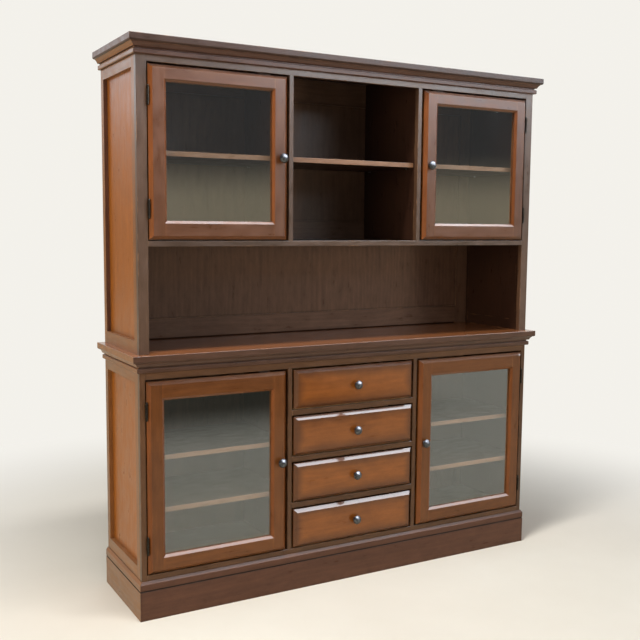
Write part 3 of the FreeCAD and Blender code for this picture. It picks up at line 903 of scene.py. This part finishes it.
@dataclass(frozen=True)
class Coating:
    """A node's main finish, and others that go over it in their order, on the faces that look some way."""

    finish: Finish
    others: dict[Facing, Finish] = field(default_factory=dict)
    upright: bool = False

    def lay_on(self, node: str) -> None:
        """Gives a node of the frame this coating and marks its boards.

        Args:
            node: The node's name in the frame.
        """
        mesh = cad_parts[node].data
        mesh.materials.clear()
        mesh.materials.append(self.finish.material())
        for place, (facing, other) in enumerate(self.others.items(), 1):
            mesh.materials.append(other.material())
            for face in filter(facing.picks, mesh.polygons):
                face.material_index = place
        wooden = isinstance(self.finish.value, WoodFinish)
        boards = BoardMarks(node, self.upright).write() if wooden else 0
        log.info("%s: %s, %d boards", node, self.finish.value.name, boards)


def arc(radius: float, turns: Iterable[float]) -> Outline:
    """Points on a circle at some turns, in radians."""
    return [(radius * math.cos(turn), radius * math.sin(turn)) for turn in turns]


@dataclass
class Fixings:
    """Small turned or slotted heads, gathered into one mesh."""

    name: str
    body: str
    finish: Finish
    slot: str
    shape: bmesh.types.BMesh = field(default_factory=bmesh.new)

    def prism(self, ring: Outline, low: float, high: float, ease: float, pose: Matrix) -> None:
        """Adds a closed prism with a bevelled top.

        Args:
            ring: The outline, anticlockwise.
            low, high: Its lowest and highest level.
            ease: How far the bevel takes the top in and down.
            pose: Where the prism goes.
        """
        middle = Vector(tuple(sum(axis) / len(ring) for axis in zip(*ring)))
        levels = []
        for level, inset in ((low, 0.0), (high - ease, 0.0), (high, ease)):
            points = [Vector(point) - (Vector(point) - middle).normalized() * inset for point in ring]
            levels.append([self.shape.verts.new(pose @ Vector((*point, level))) for point in points])
        for lower, upper in zip(levels, levels[1:]):
            for near in range(len(ring)):
                far = (near + 1) % len(ring)
                self.shape.faces.new((lower[near], lower[far], upper[far], upper[near]))
        self.shape.faces.new(levels[-1])
        self.shape.faces.new(levels[0][::-1])

    def screw_head(self, pose: Matrix, radius: float, height: float, slot: float, sides: int = 12) -> None:
        """Adds a head of two half discs on a full one, so that a slot is left between them.

        Args:
            pose: Where the head's foot goes, with Z along the screw.
            radius, height: The head's size.
            slot: The slot's width.
            sides: Steps round each half.
        """
        self.prism(arc(radius, np.linspace(0, math.tau, 2 * sides, False)), 0.0, height / 2, 0.0, pose)
        lip = math.asin(slot / 2 / radius)
        for start in (0.0, math.pi):
            half = arc(radius, np.linspace(start + lip, start + math.pi - lip, sides))
            self.prism(half, height / 2, height, height / 5, pose)

    def nail_head(self, pose: Matrix, radius: float, height: float, sides: int = 10) -> None:
        """Adds a flat round nail head with an eased rim."""
        self.prism(arc(radius, np.linspace(0, math.tau, sides, False)), 0.0, height, height / 2, pose)

    def done(self) -> None:
        """Makes the piece, which rides on its body."""
        mesh = bpy.data.meshes.new(self.name)
        bmesh.ops.recalc_face_normals(self.shape, faces=self.shape.faces)
        self.shape.to_mesh(mesh)
        self.shape.free()
        mesh.materials.append(self.finish.material())
        piece = in_scene(self.name, mesh)
        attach(piece, self.body)
        log.info("%s: on %s", self.name, self.body)


@dataclass
class SubAssembly:
    """Nodes of the frame that belong together, with the finish of each."""

    body: str = "cabinet"
    coatings: ClassVar[dict[str, Coating]] = {}

    def node(self, part: str) -> str:
        """The frame's name for one of this sub-assembly's parts."""
        return part

    def dress(self) -> None:
        """Paints each part and adds the small pieces."""
        for part, coating in self.coatings.items():
            coating.lay_on(self.node(part))
        self.fit()

    def fit(self) -> None:
        """Adds pieces that the frame doesn't have; most sub-assemblies have none."""


@dataclass
class Plinth(SubAssembly):
    """The boards that the cabinet stands on, and their bevelled cap."""

    # Faces that look to a side take painted side light; the groove's slanted faces take painted shade.
    coatings = dict.fromkeys(
        ("plinth_boards", "plinth_cap"),
        Coating(Finish.PLINTH, SIDE_LIGHT_RETURNS | {Facing.SLANT: Finish.GROOVE}),
    )


@dataclass
class BaseCarcass(SubAssembly):
    """The base without its doors and drawers; its back is nailed on."""

    nail_radius: float = 0.0022
    nail_proud: float = 0.0004
    nail_pitch: float = 0.14
    nail_inset: float = 0.012
    # Faces inside the base, its partitions, floor and shelf tops take the inside finish: painted shade of
    # the dim interior.
    coatings = {
        # The side frames take the side-frame finish, which carries painted side light.
        "base_side_frames": Coating(Finish.SIDE_FRAME, INWARD_SHADE),
        "base_side_panels": Coating(Finish.PANEL, INWARD_SHADE),
        "base_face_frame": Coating(Finish.BASE_FACE),
        "drawer_rails": Coating(Finish.BASE_FACE),
        "drawer_runners": Coating(Finish.PALE),
        "drawer_guides": Coating(Finish.PALE),
        "base_partitions": Coating(Finish.INSIDE),
        "base_floor": Coating(Finish.INSIDE),
        "base_back": Coating(Finish.BACK, upright=True),
        # The top's and the moulding's faces that look to a side take painted side light.
        "base_top": Coating(Finish.TOP, {Facing.EDGE: Finish.MOULDING} | SIDE_LIGHT_RETURNS),
        "base_top_moulding": Coating(Finish.MOULDING, SIDE_LIGHT_RETURNS),
        "base_shelves": Coating(Finish.INSIDE, {Facing.FRONT: Finish.SHELF}),
    }

    def fit(self) -> None:
        """Nails the back along its four edges."""
        low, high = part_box("base_back")
        nails = Fixings("back_nails", self.body, Finish.STEEL, "pin_steel")
        left, right = low.x + self.nail_inset, high.x - self.nail_inset
        foot, head = low.z + self.nail_inset, high.z - self.nail_inset
        across = np.linspace(left, right, round((right - left) / self.nail_pitch) + 1)
        upward = np.linspace(foot, head, round((head - foot) / self.nail_pitch) + 1)[1:-1]
        spots = [(x, z) for x in across for z in (foot, head)]
        spots += [(x, z) for z in upward for x in (left, right)]
        outward = Matrix.Rotation(-math.pi / 2, 4, "X")
        for x, z in spots:
            pose = Matrix.Translation((x, high.y - self.nail_proud, z)) @ outward
            nails.nail_head(pose, self.nail_radius, 2 * self.nail_proud)
        nails.done()


@dataclass
class HutchCarcass(SubAssembly):
    """The hutch without its doors."""

    # Faces inside the hutch, its partitions, floor and shelf tops take the inside finish: painted shade of
    # the dim interior.
    coatings = {
        # The side frames take painted side light; their recess edges that look to the front take the
        # darker cove wood as painted shade.
        "hutch_side_frames": Coating(Finish.SIDE_FRAME, INWARD_SHADE | {Facing.FRONT: Finish.COVE}),
        "hutch_side_panels": Coating(Finish.PANEL, INWARD_SHADE),
        "hutch_face_frame": Coating(Finish.FACE),
        "hutch_partitions": Coating(Finish.INSIDE),
        "hutch_floor": Coating(Finish.INSIDE),
        # The back frame's faces just over the base top take painted shade, a dark line where the back
        # meets the top.
        "hutch_back_frame": Coating(Finish.BACK, {Facing.FOOT: Finish.GROOVE}),
        "hutch_back_panels": Coating(Finish.BACK, upright=True),
        # The crown top's faces that look to a side take the paler plinth wood: painted side light.
        "crown_top": Coating(Finish.CROWN, {Facing.SIDEWAYS: Finish.PLINTH}),
        # The crown moulding's faces that look to a side take painted side light.
        "crown_moulding": Coating(Finish.COVE, SIDE_LIGHT_RETURNS),
        "hutch_shelves": Coating(Finish.INSIDE, {Facing.FRONT: Finish.SHELF}),
    }


@dataclass
class Hardware(SubAssembly):
    """What the carcass carries for its doors and shelves."""

    coatings = {
        "shelf_pins": Coating(Finish.STEEL),
        "door_catches": Coating(Finish.PLASTIC),
        "hinge_frame_leaves": Coating(Finish.IRON),
        "hinge_pins": Coating(Finish.IRON),
    }


class Row(Enum):
    """Which half of the cabinet a door is in."""

    UPPER = "upper"
    LOWER = "lower"


class Side(Enum):
    """Which end of the cabinet a door hangs at, with the way from its hinges to its knob."""

    LEFT = 1
    RIGHT = -1


@dataclass
class MovingPart(SubAssembly):
    """A sub-assembly that is a body of its own, with its parts named after it."""

    def node(self, part: str) -> str:
        """The frame's name for one of the body's parts."""
        return f"{self.body}_{part}"


@dataclass
class GlazedDoor(MovingPart):
    """A framed glass door with its knob and hinge leaves."""

    row: Row = Row.UPPER
    side: Side = Side.LEFT
    hinge_height: float = 0.054
    leaf_gap: float = 0.001
    screw_inset: float = 0.0062
    screw_spread: float = 0.019
    screw_radius: float = 0.0024
    screw_proud: float = 0.0003
    screw_slot: float = 0.0007
    coatings = {
        # The frame's corner bevels take the paler bevel wood: painted light.
        "frame": Coating(Finish.DOOR, {Facing.CORNER: Finish.DOOR_BEVEL}),
        "glass": Coating(Finish.GLASS),
        "glass_stops": Coating(Finish.DOOR),
        "knob": Coating(Finish.PEWTER),
        "hinge_leaves": Coating(Finish.IRON),
    }

    def __post_init__(self) -> None:
        """Names the body that the door moves with."""
        self.body = f"{self.row.value}_{self.side.name.lower()}_door"

    def fit(self) -> None:
        """Puts three slotted screws in each hinge leaf, on the door and on the face frame."""
        low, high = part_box(self.node("hinge_leaves"))
        axis_x = (low.x + high.x) / 2
        middles = (low.z + self.hinge_height / 2, high.z - self.hinge_height / 2)
        y = high.y - self.screw_inset
        for body, away in ((self.body, self.side.value), ("cabinet", -self.side.value)):
            owner = "door" if body == self.body else "frame"
            screws = Fixings(f"{self.body}_{owner}_hinge_screws", body, Finish.IRON, "black_metal")
            face_x = axis_x + away * self.leaf_gap / 2
            outward = Matrix.Rotation(-away * math.pi / 2, 4, "Y")
            for z in (middle + step * self.screw_spread for middle in middles for step in (-1, 0, 1)):
                pose = Matrix.Translation((face_x + away * self.screw_proud, y, z)) @ outward
                screws.screw_head(pose, self.screw_radius, 2 * self.screw_proud, self.screw_slot)
            screws.done()


@dataclass
class BaseDoor(GlazedDoor):
    """A door of the base, with a paler stain and a glossier, smoother coat than the hutch's doors."""

    coatings = {
        **GlazedDoor.coatings,
        # The frame's corner bevels take the paler bevel wood: painted light.
        "frame": Coating(Finish.BASE_DOOR, {Facing.CORNER: Finish.DOOR_BEVEL}),
        "glass_stops": Coating(Finish.BASE_DOOR),
    }


@dataclass
class Drawer(MovingPart):
    """A drawer: its bevelled front, its box and its knob."""

    number: int = 1
    coatings = {
        "front": Coating(Finish.DRAWER),
        "box": Coating(Finish.PALE),
        "knob": Coating(Finish.PEWTER),
    }

    def __post_init__(self) -> None:
        """Names the body that the drawer moves with."""
        self.body = f"drawer_{self.number}"


@dataclass(frozen=True)
class Softbox:
    """A large soft lamp that points at a spot."""

    name: str
    place: Triple
    aim: Triple
    width: float
    height: float
    glow: float
    lighting: bool = True
    mirrored: bool = False
    colour: Triple = (1.0, 0.97, 0.93)

    def hang(self) -> None:
        """Makes the lamp; its power follows from its area and how bright its face is."""
        lamp = bpy.data.lights.new(self.name, "AREA")
        lamp.shape = "RECTANGLE"
        lamp.size, lamp.size_y = self.width, self.height
        lamp.energy = self.glow * math.pi * self.width * self.height
        lamp.color = self.colour
        hung = in_scene(self.name, lamp)
        hung.visible_camera = hung.visible_transmission = False
        hung.visible_diffuse = self.lighting
        hung.visible_glossy = self.mirrored
        hung.location = self.place
        turn = (Vector(self.aim) - Vector(self.place)).to_track_quat("-Z", "Y")
        hung.rotation_euler = turn.to_euler()


@dataclass(frozen=True)
class Reflector(Softbox):
    """A cool softbox that shows only where the lacquer and the metal shine."""

    lighting: bool = False
    mirrored: bool = True
    colour: Triple = COOL


@dataclass(frozen=True)
class Studio:
    """A pale floor that fades into a pale backdrop, and soft lamps."""

    backdrop: Colour = (0.90, 0.88, 0.83, 1.0)
    ambient: Colour = (0.27, 0.27, 0.27, 1.0)
    ahead_low: Colour = (0.76, 0.67, 0.48, 1.0)
    ahead_dim: Colour = (0.13, 0.13, 0.13, 1.0)
    behind_low: Colour = (0.25, 0.22, 0.17, 1.0)
    ceiling: Colour = (0.30, 0.30, 0.30, 1.0)
    # How the floor looks in gloss and through glass: a painted reflection, pale near by and dark in a
    # patch ahead on the left.
    mirrored_near: Colour = (0.70, 0.70, 0.56, 1.0)
    mirrored_far: Colour = (0.10, 0.10, 0.08, 1.0)
    floor_light: Colour = stain((230, 226, 216))
    floor_dark: Colour = stain((214, 208, 196))
    floor_radius: float = 14.0
    floor_sides: int = 96
    floor_clouds: float = 1.3
    floor_roughness: float = 0.7
    floor_shine: float = 0.2
    fade: Span = (0.9, 2.8)
    dim_depth: Span = (-2.2, -3.6)
    dim_across: Span = (3.0, 1.6)
    back_turn: Span = (-0.1, 0.1)
    ahead_slope: Span = (0.02, 0.08)
    ceiling_slope: Span = (0.14, 0.3)
    behind_slope: Span = (0.0, 0.12)
    lamps: tuple[Softbox, ...] = (
        Softbox("overhead softbox", (-1.0, -0.783, 4.2), (-1.0, -0.783, 0.0), 1.8, 0.32, 76.0),
        Softbox("key softbox", (-4.0, -1.8, 1.8), (-0.6, 0.0, 0.9), 2.0, 1.8, 8.0, colour=WARM),
        Softbox("front softbox", (3.4, -3.7, 1.4), (0.2, 0.0, 0.9), 0.9, 0.8, 32.5),
        Reflector("overhead reflector", (1.7, -1.65, 3.5), (1.7, -1.65, 0.0), 4.6, 3.5, 12.0),
        Reflector("front reflector", (3.7, -4.2, 3.06), (3.7, 0.0, 1.2), 4.4, 1.0, 9.5),
        Reflector("side reflector", (-2.9, 3.4, 2.75), (-0.9, 0.0, 1.7), 2.0, 1.0, 2.6),
    )

    def rays(self, net: Net) -> tuple[Socket, Socket, Socket]:
        """Sorts the rays that come to the surroundings.

        Args:
            net: The tree that asks.

        Returns:
            Sockets that are 1 for a ray from the camera, through glass and off gloss.
        """
        path = net.node("ShaderNodeLightPath").outputs
        through = path["Is Transmission Ray"]
        off_gloss = net.sums("SUBTRACT", path["Is Glossy Ray"], through, clamp=True)
        return path["Is Camera Ray"], through, off_gloss

    def light_world(self) -> None:
        """Sets the backdrop and the even light that comes from all round."""
        world = bpy.data.worlds.new("studio")
        bpy.context.scene.world = world
        world.use_nodes = True
        net = Net(world.node_tree)
        sky = world.node_tree.nodes["Background"]
        camera, through, off_gloss = self.rays(net)
        _, depth, slope = net.parts(net.node("ShaderNodeTexCoord").outputs["Generated"])
        back = net.spread(depth, *self.back_turn)
        ahead = net.mix(net.spread(slope, *self.ahead_slope), self.ahead_low, self.ahead_dim)
        ahead = net.mix(net.spread(slope, *self.ceiling_slope), ahead, self.ceiling)
        behind = net.mix(net.spread(slope, *self.behind_slope), self.behind_low, self.backdrop)
        mirrored = net.mix(back, ahead, behind)
        around = net.mix(net.sums("MAXIMUM", off_gloss, through), self.ambient, mirrored)
        straight = net.sums("MULTIPLY_ADD", through, back, camera)
        net.feed(sky.inputs["Color"], net.mix(straight, around, self.backdrop))

    def lay_floor(self) -> None:
        """Lays the floor, which keeps the object's shadow and fades out far away."""
        shape = bmesh.new()
        bmesh.ops.create_circle(shape, cap_ends=True, segments=self.floor_sides, radius=self.floor_radius)
        mesh = bpy.data.meshes.new("floor")
        shape.to_mesh(mesh)
        shape.free()
        made, net, shader = blank_material("pale floor")
        here = net.here()
        cloud = net.noise(here, self.floor_clouds, detail=4.0, rough=0.6)
        net.fill(shader, {"Base Color": net.mix(cloud, self.floor_dark, self.floor_light)})
        net.fill(shader, {"Roughness": self.floor_roughness, "Specular IOR Level": self.floor_shine})
        camera, through, off_gloss = self.rays(net)
        across, depth, _ = net.parts(here)
        away = net.spread(net.vectors("LENGTH", here), *self.fade)
        # In gloss and through glass the floor shows made-up colours, not its lit self: a painted
        # reflection, pale near by and dark in a patch ahead on the left.
        dark_reflected_patch = net.spread(depth, *self.dim_depth)
        dark_reflected_patch = net.sums("MULTIPLY", dark_reflected_patch, net.spread(across, *self.dim_across))
        mirrored = net.sums("MULTIPLY", dark_reflected_patch, net.sums("SUBTRACT", 1.0, camera))
        around = net.mix(off_gloss, self.backdrop, self.mirrored_near)
        glow = net.node("ShaderNodeEmission", net.mix(mirrored, around, self.mirrored_far))
        straight = net.sums("MULTIPLY", away, net.sums("ADD", camera, through))
        hidden = net.sums("MAXIMUM", off_gloss, net.sums("MULTIPLY", dark_reflected_patch, through))
        show_blend(net, net.sums("MAXIMUM", straight, hidden), shader.outputs[0], glow.outputs[0])
        mesh.materials.append(made)
        floor = in_scene("floor", mesh)
        floor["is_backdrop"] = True

    def set_up(self) -> None:
        """Builds the studio."""
        self.light_world()
        self.lay_floor()
        for lamp in self.lamps:
            lamp.hang()
        log.info("studio: floor and %d lamps", len(self.lamps))


@dataclass(frozen=True)
class PhotoCamera:
    """A camera where the photograph was taken from, for a square image."""

    place: Triple = (-1.8547, -3.1705, 1.4012)
    yaw: float = 29.55
    pitch: float = -5.967
    roll: float = 0.486
    focal_pixels: float = 904.8
    image_pixels: float = 640.0
    sensor: float = 36.0

    def set_up(self) -> None:
        """Makes the camera and gives it to the scene."""
        yaw, pitch, roll = (math.radians(turn) for turn in (self.yaw, self.pitch, self.roll))
        ahead = Vector(
            (math.sin(yaw) * math.cos(pitch), math.cos(yaw) * math.cos(pitch), math.sin(pitch))
        )
        level = Vector((math.cos(yaw), -math.sin(yaw), 0.0))
        upward = level.cross(ahead)
        right = math.cos(roll) * level + math.sin(roll) * upward
        top = math.cos(roll) * upward - math.sin(roll) * level
        lens = bpy.data.cameras.new("photo camera")
        lens.sensor_width = self.sensor
        lens.lens = self.sensor * self.focal_pixels / self.image_pixels
        camera = in_scene("photo camera", lens)
        turned = Matrix((right, top, -ahead)).transposed().to_4x4()
        camera.matrix_world = Matrix.Translation(self.place) @ turned
        bpy.context.scene.camera = camera


def write_sizes(boxes: Iterable[tuple[Vector, Vector]]) -> None:
    """Turns the frame's box and the dressed cabinet's box into plain lists; nothing is written out.

    Args:
        boxes: The two boxes, each with its lowest and its highest corner.
    """
    cad, visual = ([list(corner) for corner in box] for box in boxes)


def main() -> None:
    """Dresses the cabinet part by part, then sets up the studio and the camera."""
    logging.basicConfig(level=logging.INFO, format="%(name)s: %(message)s")
    bpy.context.scene.view_settings.view_transform = "Standard"
    kinds = {Row.UPPER: GlazedDoor, Row.LOWER: BaseDoor}
    doors = [kind(row=row, side=side) for row, kind in kinds.items() for side in Side]
    drawers = [Drawer(number=number) for number in range(1, DRAWERS + 1)]
    for assembly in (Plinth(), BaseCarcass(), HutchCarcass(), Hardware(), *doors, *drawers):
        assembly.dress()
    Studio().set_up()
    PhotoCamera().set_up()
    write_sizes((CAD_BOX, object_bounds()))


if __name__ == "__main__":
    main()
